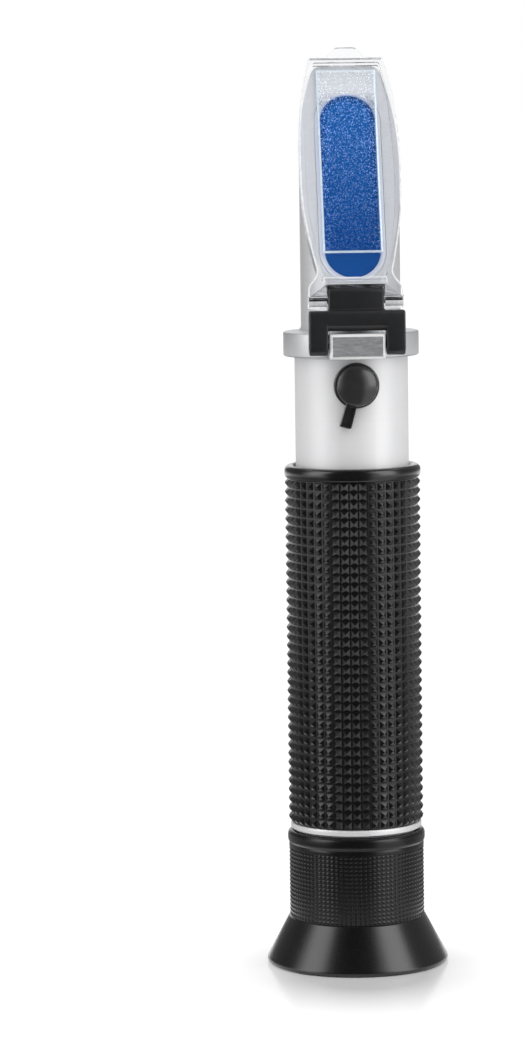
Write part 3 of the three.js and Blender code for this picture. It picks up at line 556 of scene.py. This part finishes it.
def rows_on(bm, radius, rows):
    """Divides the straight side of a cross section at a radius into rows."""
    side = [e for e in bm.edges if all(abs(v.co.x - radius) < 1e-4 for v in e.verts)]
    bmesh.ops.subdivide_edges(bm, edges=side, cuts=rows - 1)


def knurl(bm, radius, low, high, gap, side, depth, point):
    """Raises a blunt pyramid on every face of a sleeve between two heights."""
    cells = []
    for face in bm.faces:
        middle = face.calc_center_median()
        outwards = face.normal.xy.normalized().dot(middle.xy.normalized())
        if (low < middle.z < high and middle.xy.length > radius and outwards > 0.9
                and abs(face.normal.z) < 0.1):
            cells.append(face)
    bmesh.ops.inset_individual(bm, faces=cells, thickness=gap, depth=0, use_even_offset=True)
    bmesh.ops.inset_individual(bm, faces=cells, thickness=side, depth=depth, use_even_offset=True)
    bmesh.ops.poke(bm, faces=cells, offset=point, center_mode="MEAN_WEIGHTED")


rows_on(eyecup, cup_valley, cup_rows)
spun(eyecup, cup_columns)
knurl(eyecup, cup_valley - 0.2, collar_low, collar_high, gap=0.16, side=0.2, depth=0.13, point=0.06)
keep(eyecup, "eyecup_rubber_shell", "eyecup", cup_rubber, "eyecup_rubber", "eyecup", crease=14)


# Barrel tube: drawn aluminium, turned bright. It carries the grip, the reticle's set screws go
# through it under the grip, and the calibration screw's port is in its front near the top.
tube_radius = 12.4
tube_bore = 11.2
tube_foot, tube_top = 31.5, 134.2
screw_height = 128.4
port_radius = 4.0
set_screw_bore = 1.1
set_screw_height = 45.75
set_screw_reach = 14
barrel = turned([
    (tube_bore, tube_foot), (tube_radius, tube_foot, 0.15), (tube_radius, tube_top, 0.15),
    (tube_bore, tube_top),
], 160)
barrel = worked(barrel, rod(port_radius, (0, 0, screw_height), (0, -15, screw_height)))
for angle in (90, 210, 330):
    outer_end = Vector((cos(radians(angle)), sin(radians(angle)), 0)) * set_screw_reach
    outer_end += Vector((0, 0, set_screw_height))
    barrel = worked(barrel, rod(set_screw_bore, (0, 0, set_screw_height), outer_end, 24))
keep(barrel, "barrel_tube_turned", "barrel", aluminium, "turned_aluminium", "barrel_tube")


# Grip: a sleeve of black rubber, moulded all over in square points and stretched onto the tube.
# A smooth round bead ends it at the top.
bead_foot, bead_top = 107.7, 110.4
grip_rubber = moulded_rubber("rubber_grip", (0.0045, 0.0045, 0.0047), 0.25, (bead_foot, 112.0), 0.7)
grip_columns = 44
grip_rows = 38
grip_low, grip_high = 31.5, 107.5
grip_bore = 12.5
grip_valley = 14.3
bead_radius = 14.95
grip = cross_section([
    (grip_bore, grip_low), (grip_valley, grip_low), (grip_valley, grip_high),
    (grip_bore, grip_high),
])
rows_on(grip, grip_valley, grip_rows)
spun(grip, grip_columns)
knurl(grip, 13.5, grip_low, grip_high, gap=0.17, side=0.62, depth=0.5, point=0.1)
bead = turned([
    (grip_bore, 106.9), (14.2, 106.9), (14.2, 107.6, 0.3), (bead_radius, bead_foot, 1.0),
    (bead_radius, bead_top, 1.2), (13.25, bead_top, 0.6), (12.6, 109.5), (grip_bore, 109.5),
], 132)
bead_mesh = bpy.data.meshes.new("bead")
bead.to_mesh(bead_mesh)
bead.free()
grip.from_mesh(bead_mesh)
bpy.data.meshes.remove(bead_mesh)
keep(grip, "grip_rubber_points", "barrel", grip_rubber, "grip_rubber", "grip_sleeve", crease=20)


# Prism head: one aluminium casting, turned, milled flat on its slanted face and plated. Flange and
# hinge boss are part of it; its spigot screws into the tube, and the light passes down its bore.
def plated(name, tone, roughness):
    """Satin plating over fine scratches; the milled front of the boss is bare, with a painted
    highlight on its edges.
    """
    metal = Finish(bpy.data.materials.new(name))
    scratch = metal.noise(1.0, 4.0, stretch=(0.5, 0.5, 2.6), roughness=0.7)
    cloud = metal.noise(0.12, 3.0)
    lines = metal.spread(scratch, 0, 1, 0.35, 0.65)
    front = metal.along("Y")
    milled = metal.spread(front, 1, 0, -17.25, -17.15)
    # A near-white painted highlight on the chamfer round the boss's milled front.
    painted_chamfer_highlight = metal.spread(front, 1, 0, -16.75, -16.5) - milled
    flange = metal.spread(metal.along("Z"), 1, 0, 139.5, 140.5)
    # The flange is painted a shade darker than the rest of the head, as painted shade.
    skin = metal.shades(tone, 0.94, 1, lines - 2 * flange)
    cut = metal.shades(tone, 0.40, 0.62, lines)
    smoother = 0.02 * flange + 0.1 * milled
    face = metal.between(skin, cut, milled)
    return metal.end(metal.add("BsdfPrincipled", inputs={
        "Base Color": metal.between(face, (0.98, 0.98, 0.98, 1), painted_chamfer_highlight),
        "Metallic": 0.6 + 0.2 * flange - 0.6 * painted_chamfer_highlight - 0.4 * milled,
        "Roughness": roughness - 0.04 + 0.08 * cloud + 0.06 * scratch - smoother,
        "Normal": metal.bump(scratch, 0.000003, 0.4),
    }))


def laid(bm, matrix):
    """Moves or turns a shape to where it belongs."""
    bmesh.ops.transform(bm, matrix=matrix, verts=bm.verts)
    return bm


def slab(points, back, front, place=Matrix.Identity(4), bevels=(), segments=8):
    """An outline of (x, height) points, its corners rounded, solid between two front distances."""
    bm = bmesh.new()
    verts = [bm.verts.new((x, -back, z)) for x, z in points]
    bm.faces.new(verts)
    for vert, amount in zip(verts, bevels):
        eased(bm, [vert], amount, segments, "VERTICES")
    bmesh.ops.remove_doubles(bm, verts=bm.verts, dist=1e-5)
    raised = bmesh.ops.extrude_face_region(bm, geom=bm.faces[:])["geom"]
    raised = [g for g in raised if isinstance(g, bmesh.types.BMVert)]
    bmesh.ops.translate(bm, vec=(0, back - front, 0), verts=raised)
    bmesh.ops.recalc_face_normals(bm, faces=bm.faces)
    return laid(bm, place)


slope = radians(21)
face_crossing = 174.7
tilt = Matrix.Translation((0, 0, face_crossing)) @ Matrix.Rotation(-slope, 4, "X")
prism_half_width = 6.0
prism_half_length = 20.85
prism_shift = -4.1


def obround(grow, back, front):
    """The prism's outline, its ends round, grown all round and laid on the slanted face."""
    wide = prism_half_width + grow
    long = prism_half_length + grow
    corners = [(x * wide, prism_shift + z * long)
               for x, z in ((-1, -1), (1, -1), (1, 1), (-1, 1))]
    return slab(corners, back, front, tilt, (wide - 0.001,) * 4, 16)


head_metal = plated("aluminium_plated", (0.79, 0.80, 0.82), 0.46)
head_radius, head_top = 10.9, 196.9
flange_radius = 14.8
flange_low, flange_top = 134.3, 139.6
head_spigot_bore, head_spigot_low = 9.9, 122.3
head_floor = 131.45
head = turned([
    (0, head_floor), (head_spigot_bore, head_floor), (head_spigot_bore, head_spigot_low),
    (spigot_radius, head_spigot_low, 0.2), (spigot_radius, flange_low),
    (flange_radius, flange_low, 0.4), (flange_radius, flange_top, 0.4),
    (head_radius, flange_top, 1.3), (head_radius, head_top, 1.2), (0, head_top),
], 160)

boss_half_width, boss_front, boss_top = 6.05, 17.3, 139.8
boss = block((-boss_half_width, -boss_front, flange_low), (boss_half_width, -9.5, boss_top))
eased(boss, [e for e in boss.edges if all(v.co.y < 0.3 - boss_front for v in e.verts)], 0.7)
upright = [e for e in boss.edges
           if e.calc_length() > 5 and (e.verts[0].co - e.verts[1].co).xz.length < 0.01]
eased(boss, upright, 0.35, 3)

face_foot = 140.9
prism_foot, prism_back = 150.5, 7.7
prism_play = 0.1
seal_width, seal_depth = 1.2, 0.7
light_bore_radius, light_bore_top = 6.6, 151.5
before_face = laid(block((-40, -60, -80), (40, 0, 60)), tilt)
before_face = worked(before_face, block((-50, -80, face_foot), (50, 50, 260)), "INTERSECT")
pocket = worked(
    obround(prism_play, -42, 1),
    block((-20, -40, prism_foot - prism_play), (20, prism_back + prism_play, 205)), "INTERSECT")
seal_groove = obround(seal_width + 0.1, -seal_depth - 0.1, 1)
light_bore = rod(light_bore_radius, (0, 0, 120), (0, 0, light_bore_top), 96)
screw_port = rod(port_radius, (0, 0, screw_height), (0, -12.5, screw_height))
for tool in (before_face, pocket, seal_groove, light_bore, screw_port):
    head = worked(head, tool)
head = worked(head, boss, "UNION")

pin_bore = 0.76


def pin_hole(front, height):
    return rod(pin_bore, (-12, -front, height), (12, -front, height), 32)


link_pin_front, link_pin_height = 15.5, 137.0
head = worked(head, pin_hole(link_pin_front, link_pin_height))
keep(head, "prism_head_plated", "barrel", head_metal, "head_aluminium", "prism_head")


# Prism: deep blue glass with round ends, its face polished flush with the head's slanted face. A
# pale sealing compound fills the narrow groove round it.
def from_middle(finish):
    """Squared distance, on the slanted face, from the line between the round ends' centres."""
    across = finish.along("X")
    height = finish.along("Z")
    past_end = (finish.spread(height, 0, 8, 184.74, 192.2)
                + finish.spread(height, 8, 0, 149.5, 157.0))
    return across * across + past_end * past_end


def prism_blue(name, low, high, edge):
    """Blue that deepens down the slope and towards the edge; polished, and a little wiped."""
    glass = Finish(bpy.data.materials.new(name))
    wipe = glass.noise(0.3, 4.0, stretch=(1, 1, 0.35))
    rise = glass.spread(glass.along("Z"), 0, 1, 157.0, 190.0)
    rim = glass.spread(from_middle(glass), 0, 1, 20.0, 35.0)
    body = glass.between((*low, 1), (*high, 1), rise * 0.9 + 0.1 * wipe)
    return glass.end(glass.add("BsdfPrincipled", inputs={
        "Base Color": glass.between(body, (*edge, 1), 0.75 * rim * rise),
        "Roughness": 0.04 + 0.05 * wipe,
        "IOR": 1.5,
    }))


def sealing(name, near, far):
    """Translucent paste, bluish near the prism and pale further out."""
    paste = Finish(bpy.data.materials.new(name))
    cloud = paste.noise(1.5, 4.0)
    outwards = paste.spread(from_middle(paste), 0, 0.85, 37.0, 50.0)
    return paste.end(paste.add("BsdfPrincipled", inputs={
        "Base Color": paste.between((*near, 1), (*far, 1), outwards + 0.15 * cloud),
        "Roughness": 0.45 + 0.15 * cloud,
        "Normal": paste.bump(cloud, 0.00002, 0.4),
    }))


blue_glass = prism_blue(
    "glass_blue", low=(0.0062, 0.081, 0.33), high=(0.025, 0.19, 0.55), edge=(0.008, 0.035, 0.14))
prism = worked(
    obround(0, -42, 0), block((-20, -40, prism_foot), (20, prism_back, 205)), "INTERSECT")
keep(prism, "prism_polished", "barrel", blue_glass, "blue_prism", "prism")

paste_pale = sealing("paste_pale", near=(0.58, 0.64, 0.84), far=(0.86, 0.87, 0.90))
seal = worked(obround(seal_width, -seal_depth, -0.02), obround(prism_play, -2, 1))
keep(seal, "prism_seal_paste", "barrel", paste_pale, "seal", "prism_seal")


# Calibration: a brass screw with a driver slot turns in a brass bush pressed into the spigot, and
# shifts the carriage with the objective. A steel clip keeps it; the bimetal strip follows heat.
forwards = Matrix.Translation((0, 0, screw_height)) @ Matrix.Rotation(pi / 2, 4, "X")
bush_radius, bush_recess_radius, screw_bore = 3.9, 3.1, 1.6
bush_back, bush_floor, bush_front = 9.95, 10.55, 11.7
bush = turned([
    (screw_bore, bush_back), (bush_radius, bush_back), (bush_radius, bush_front, 0.2),
    (bush_recess_radius, bush_front, 0.15), (bush_recess_radius, bush_floor),
    (screw_bore, bush_floor),
], 64)
keep(laid(bush, forwards), "screw_bush_turned", "barrel", brass, "brass", "screw_bush")

tip_radius, tip_end, tip_root = 1.2, 7.1, 9.2
shank_radius = 1.5
clip_groove_radius, clip_back = 1.15, 9.5
screw_head_radius, screw_head_back, screw_head_front = 2.1, 10.65, 11.25
slot_half_width, slot_floor = 0.25, 10.95
screw = turned([
    (0, tip_end), (tip_radius, tip_end, 0.2), (tip_radius, tip_root), (shank_radius, tip_root, 0.1),
    (shank_radius, clip_back), (clip_groove_radius, clip_back), (clip_groove_radius, bush_back),
    (shank_radius, bush_back), (shank_radius, screw_head_back),
    (screw_head_radius, screw_head_back, 0.08), (screw_head_radius, screw_head_front, 0.15),
    (0, screw_head_front),
], 64)
screw = worked(screw, block((-3, -slot_half_width, slot_floor), (3, slot_half_width, 12)))
keep(laid(screw, forwards), "calibration_screw_slotted", "calibration", brass, "brass",
     "calibration_screw")
dress("bimetal_strip", plain_metal("bimetal_rolled", (0.62, 0.45, 0.27), 0.3))


# Screw cap: a black rubber cap pressed over the bush by a short plug, its underside curved to the
# tube. A tail with raised edges hangs from it to pull it off by.
cap_rubber = moulded_rubber("rubber_cap", (0.027, 0.027, 0.0273), 0.26)
cap_radius, cap_back, cap_edge = 4.95, 9.95, 13.5
step_radius, step_front = 4.4, 14.7
dome_radius, dome_middle, dome_front = 7.5, 8.6, 16.1
dome = [(dome_radius * sin(radians(a)), dome_middle + dome_radius * cos(radians(a)))
        for a in range(31, 3, -4)]
cap = laid(turned([
    (0, cap_back), (cap_radius, cap_back), (cap_radius, cap_edge, 0.45), (step_radius, cap_edge),
    (step_radius, step_front, 0.3), *dome, (0, dome_front),
], 72), forwards)

tail_swing = radians(16)
tail_corners = (0.2, 0.5)
tail_outline = [(-1.3, -9.4), (1.3, -9.4), (1.1, 0), (-1.1, 0)]
tail_back, tail_front = 10.4, 13.7
swing = Matrix.Translation((0, 0, screw_height)) @ Matrix.Rotation(tail_swing, 4, "Y")
tail = slab(tail_outline, tail_back, tail_front, swing, tail_corners, 4)
tail_face = min(tail.faces, key=lambda f: f.calc_center_median().y)
for thickness, depth in ((0.15, 0.12), (0.2, 0), (0.12, -0.8)):
    bmesh.ops.inset_region(tail, faces=[tail_face], thickness=thickness, depth=depth)
cap = worked(cap, tail, "UNION")
cap = worked(cap, rod(tube_radius + 0.1, (0, 0, 110), (0, 0, 145), 160))

plug_radius, plug_bore = 3.0, 2.3
plug_back, plug_floor = 10.65, 11.55
plug = turned([
    (plug_bore, plug_back, 0.1), (plug_radius, plug_back, 0.2), (plug_radius, 13.6), (0, 13.6),
    (0, plug_floor), (plug_bore, plug_floor),
], 48)
cap = worked(cap, laid(plug, forwards), "UNION")
keep(cap, "screw_cap_moulded", "cap", cap_rubber, "cap_rubber", "screw_cap", crease=30)


# Hinge link: a black moulded arm on two steel pins. The lower one goes through the head's boss,
# the upper one through the daylight plate's ears, so that the plate swings clear of the prism.
def satin_black(name, tone, roughness):
    plastic = Finish(bpy.data.materials.new(name))
    cloud = plastic.noise(0.5, 4.0)
    return plastic.end(plastic.add("BsdfPrincipled", inputs={
        "Base Color": plastic.shades(tone, 0.8, 1.2, cloud),
        "Roughness": roughness - 0.04 + 0.08 * cloud,
        "Normal": plastic.bump(plastic.noise(5.0, 3.0), 0.000008, 0.3),
    }))


link_black = satin_black("plastic_black", (0.019, 0.0195, 0.021), 0.3)
plate_pin_front, plate_pin_height = 12.7, 146.8
pin_axes = [Vector((0, -link_pin_front, link_pin_height)),
            Vector((0, -plate_pin_front, plate_pin_height))]
link_rounding = 0.4
kept_round_pins = 1.2
link = bmesh.new()
link.from_mesh(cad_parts["hinge_link"].data)
bmesh.ops.scale(link, vec=(1000,) * 3, verts=link.verts)
bmesh.ops.remove_doubles(link, verts=link.verts, dist=1e-3)
bmesh.ops.dissolve_limit(link, angle_limit=radians(2), verts=link.verts, edges=link.edges)
sharp = [e for e in link.edges if len(e.link_faces) == 2 and e.calc_face_angle() > radians(30)
         and all((v.co - axis).yz.length > kept_round_pins for v in e.verts for axis in pin_axes)]
eased(link, sharp, link_rounding, 3)
keep(link, "hinge_link_moulded", "link", link_black, "link_black", "hinge_link")

pin_steel = plain_metal("steel_pins", (0.22, 0.225, 0.235), 0.12)
pin_radius = 0.7


def hinge_pin(name, node, front, height, half):
    pin = turned([
        (0, -half), (pin_radius, -half, 0.15), (pin_radius, half, 0.15), (0, half)], 32)
    across = Matrix.Translation((0, -front, height)) @ Matrix.Rotation(pi / 2, 4, "Y")
    keep(laid(pin, across), name, "link", pin_steel, "steel", node)


hinge_pin("link_pin_steel", "link_pin", link_pin_front, link_pin_height, half=10.25)
hinge_pin("plate_pin_steel", "plate_pin", plate_pin_front, plate_pin_height, half=10.13)


# Daylight plate: moulded in clear plastic with a raised rim on both sides, two ears for the pin
# and a small lift tab. It spreads the drop on the prism and lets the daylight in.
def clear_plastic_of(name, tint, roughness):
    """Clear plastic, faintly wiped; its shadow is light, because the light goes through it."""
    plastic = Finish(bpy.data.materials.new(name))
    wipe = plastic.noise(0.4, 4.0)
    body = plastic.add("BsdfPrincipled", inputs={
        "Base Color": (*tint, 1),
        "Roughness": roughness + 0.03 * wipe,
        "IOR": 1.49,
        "Transmission Weight": 1.0,
    })
    through = plastic.add("BsdfTransparent", inputs={"Color": (0.93, 0.95, 0.97, 1)})
    return plastic.end(plastic.add("MixShader", inputs={
        0: plastic.add("LightPath", output="Is Shadow Ray"), 1: body, 2: through}))


def painted_edge_light(name, tone, least, most, glow=0.0):
    """An edge of clear plastic as painted light: a painted highlight or painted shade that hides a
    share of what lies behind it; glow adds a painted glow.
    """
    edge = Finish(bpy.data.materials.new(name))
    cloud = edge.noise(0.8, 3.0)
    return edge.end(edge.add("MixShader", inputs={
        0: edge.spread(cloud, least, most, 0.3, 0.6),
        1: edge.add("BsdfTransparent"),
        2: edge.add("BsdfPrincipled", inputs={
            "Base Color": (*tone, 1),
            "Roughness": 0.3,
            "Emission Color": (*tone, 1),
            "Emission Strength": glow,
        }),
    }))


plate_length = 55.3
plate_half = 11.0
side_shares = ((0, 0.93), (0.05, 0.93), (0.085, 0.78), (0.11, 0.735), (0.16, 0.8), (0.256, 0.89),
               (0.353, 0.965), (0.45, 0.995), (0.546, 1), (0.65, 0.99), (0.74, 0.964),
               (0.837, 0.918), (0.93, 0.83), (1, 0.735))
on_plate = (Matrix.Translation((0, -plate_pin_front, plate_pin_height))
            @ Matrix.Rotation(-slope, 4, "X"))
to_plate = on_plate.inverted()


def plate_outline(inset, low, high):
    """Both sides of the plate between two distances from its pin, and how round each corner is."""
    stops = [(share * plate_length, half * plate_half) for share, half in side_shares]

    def half_at(along):
        for (a, wide), (b, next_wide) in zip(stops, stops[1:]):
            if along <= b + 1e-6:
                return wide + (next_wide - wide) * (along - a) / (b - a)

    places = [low, *[a for a, _ in stops if low + 0.8 < a < high - 0.8], high]
    right = [(half_at(a) - inset, a) for a in places]
    left = [(-x, a) for x, a in reversed(right)]
    round_right = [0.3, *[0.9] * (len(places) - 2), 0.35]
    return right + left, round_right + round_right[::-1]


def plate_slab(inset, low, high, back, front):
    points, rounds = plate_outline(inset, low, high)
    return slab(points, back, front, on_plate, rounds, 4)


def chamfer_front(bm, offset):
    """Breaks the edges round the front of a shape that lies on the plate."""
    bm.normal_update()
    front = [e for e in bm.edges
             if any((to_plate.to_3x3() @ f.normal).y < -0.99 for f in e.link_faces)]
    eased(bm, front, offset)


def mark_painted_edges(bm):
    """Finishes: 1, a painted highlight on the chamfers round a front; 2, painted shade on the
    plate's top end.
    """
    bm.normal_update()
    for face in bm.faces:
        facing = to_plate.to_3x3() @ face.normal
        if facing.z > 0.9 and (to_plate @ face.calc_center_median()).z > 54.5:
            face.material_index = 2
        elif -0.9 < facing.y < -0.4:
            face.material_index = 1


rim_back, rim_front = -1.258, 1.842
panel_back, panel_front = -0.658, 1.142
rim_width = 1.3
rib_foot, rib_top = 3.1, 4.7
panel_end = 54.0
ear_radius, ear_inner, ear_outer = 1.7, 6.3, 10.23
plate = plate_slab(0, 0, plate_length, rim_back, rim_front)
chamfer_front(plate, 0.3)
plate = worked(plate, plate_slab(rim_width, rib_top, panel_end, panel_front, 4))
plate = worked(plate, plate_slab(rim_width, rib_top, panel_end, -4, panel_back))

tab_outline = [(-4.9, 54.2), (4.9, 54.2), (2.7, 57.6), (-2.7, 57.6)]
lift_tab = slab(tab_outline, 0.5, 1.5, on_plate, (0.1, 0.1, 1.2, 1.2), 5)
plate = worked(plate, lift_tab, "UNION")
for side in (-1, 1):
    ear = rod(ear_radius, (side * ear_inner, 0, 0), (side * ear_outer, 0, 0), 48)
    plate = worked(plate, laid(ear, on_plate), "UNION")
notch = block((-ear_inner, -4, -4), (ear_inner, 4, rib_foot))
plate = worked(plate, laid(notch, on_plate))
cross_rib = laid(block((-6.9, -2.1, rib_foot - 0.05), (6.9, -1.0, rib_top)), on_plate)
chamfer_front(cross_rib, 0.24)
plate = worked(plate, cross_rib, "UNION")
plate = worked(plate, pin_hole(plate_pin_front, plate_pin_height))
mark_painted_edges(plate)

clear_plastic = clear_plastic_of("plastic_clear", (0.985, 0.99, 1.0), 0.0)
plate_piece = keep(plate, "daylight_plate_clear", "plate", clear_plastic, "clear_plastic",
                   "daylight_plate", crease=25)
# The chamfers round the plate's front get a painted highlight, and its top end painted shade.
for finish in (painted_edge_light("plastic_edge_painted_highlight", (0.97, 0.98, 1.0), 0.7, 1.0),
               painted_edge_light("plastic_end_painted_shade", (0.35, 0.36, 0.38), 0.5, 0.8)):
    plate_piece.data.materials.append(finish)


# Frosted pad: a thin raised field under the plate, which presses the drop flat. Its surface is
# finely frosted, with painted sparkle: its dots glow light blue over the prism as painted
# glints, and beyond its upper end it is a white haze with a faint painted glow.
def frosted_with_painted_sparkle(name):
    """A veil of fine dots with painted glow as sparkle, thicker towards the top and the side edges,
    and a haze at the top with a faint painted glow.
    """
    frost = Finish(bpy.data.materials.new(name))
    cells = {"Vector": frost.place(), "Scale": 3.4}
    dot = frost.spread(frost.add("TexVoronoi", inputs=cells), 1, 0, 0.25, 0.45)
    chosen = frost.spread(frost.add("TexVoronoi", inputs=cells, output="Color"), 0, 1, 0.5, 0.75)
    across = frost.along("X")
    height = frost.along("Z")
    amount = (frost.spread(height, 0.2, 1.0, 158.0, 186.0)
              + frost.spread(across * across, 0, 0.5, 10.0, 34.0))
    outside = frost.spread(from_middle(frost), 0, 1, 34.0, 42.0)
    haze = outside * frost.spread(height, 0, 0.42, 188.6, 191.2)
    # The emission here is painted sparkle: light blue over the prism, faint grey in the haze.
    body = frost.add("BsdfPrincipled", inputs={
        "Base Color": frost.between((0.14, 0.3, 0.85, 1), (0.97, 0.98, 1.0, 1), outside),
        "Roughness": 0.5,
        "Emission Color": frost.between((0.38, 0.64, 1.0, 1), (0.2, 0.2, 0.2, 1), outside),
        "Emission Strength": 0.6,
        "Normal": frost.bump(dot, 0.00004, 0.6),
    })
    through = frost.add("MixShader", inputs={
        0: frost.spread(frost.noise(3.0, 2.0), 0, 1, 0.38, 0.5),
        1: frost.add("BsdfTransparent", inputs={"Color": (0.70, 0.75, 0.83, 1)}),
        2: frost.add("BsdfTransparent"),
    })
    return frost.end(frost.add("MixShader", inputs={
        0: 0.95 * dot * chosen * amount + haze, 1: through, 2: body}))


pad_half = 6.5
pad_start, pad_end = 10.9, 53.0
pad_root, pad_face = 0.6, 1.55
pad = laid(block((-pad_half, pad_root, pad_start), (pad_half, pad_face, pad_end)), on_plate)
chamfer_front(pad, 0.4)
mark_painted_edges(pad)
# The pad's chamfers get a painted highlight with a painted glow.
pad_edge_painted_glow = painted_edge_light("plastic_pad_edge_painted_glow", (0.8, 0.92, 1.0), 0.85, 1.0, glow=0.16)
pad_piece = keep(pad, "frosted_pad", "plate", frosted_with_painted_sparkle("plastic_frosted_painted_sparkle"), "clear_plastic")
pad_piece.data.materials.append(pad_edge_painted_glow)
